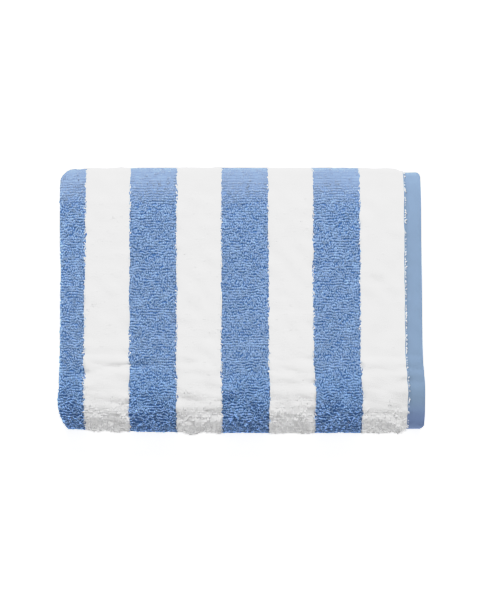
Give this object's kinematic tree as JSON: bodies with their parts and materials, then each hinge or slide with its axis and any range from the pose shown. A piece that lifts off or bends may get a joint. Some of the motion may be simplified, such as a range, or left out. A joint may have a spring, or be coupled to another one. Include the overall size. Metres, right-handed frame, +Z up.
{
  "type": "folded beach towel",
  "caption": "Striped terry beach towel with flat woven side hems, lying folded into a flat rectangular stack, ready for a shelf, lounger or beach bag.",
  "frame": {"origin": "middle of the folded towel's box, at the surface that it lies on", "axes": "+X from the folded long edge to the hemmed long edges, +Y from the front roll to the back roll, +Z up"},
  "size_m": [0.38, 0.276, 0.0423],
  "materials": {
    "towel_cloth": "cotton terry ground cloth in blue and white stripes, with flat woven blue hems",
    "blue_pile": "looped blue cotton pile, matt and soft",
    "white_pile": "looped white cotton pile, matt and soft"
  },
  "bodies": {
    "root": {"towel": "towel_cloth"}
  },
  "joints": []
}
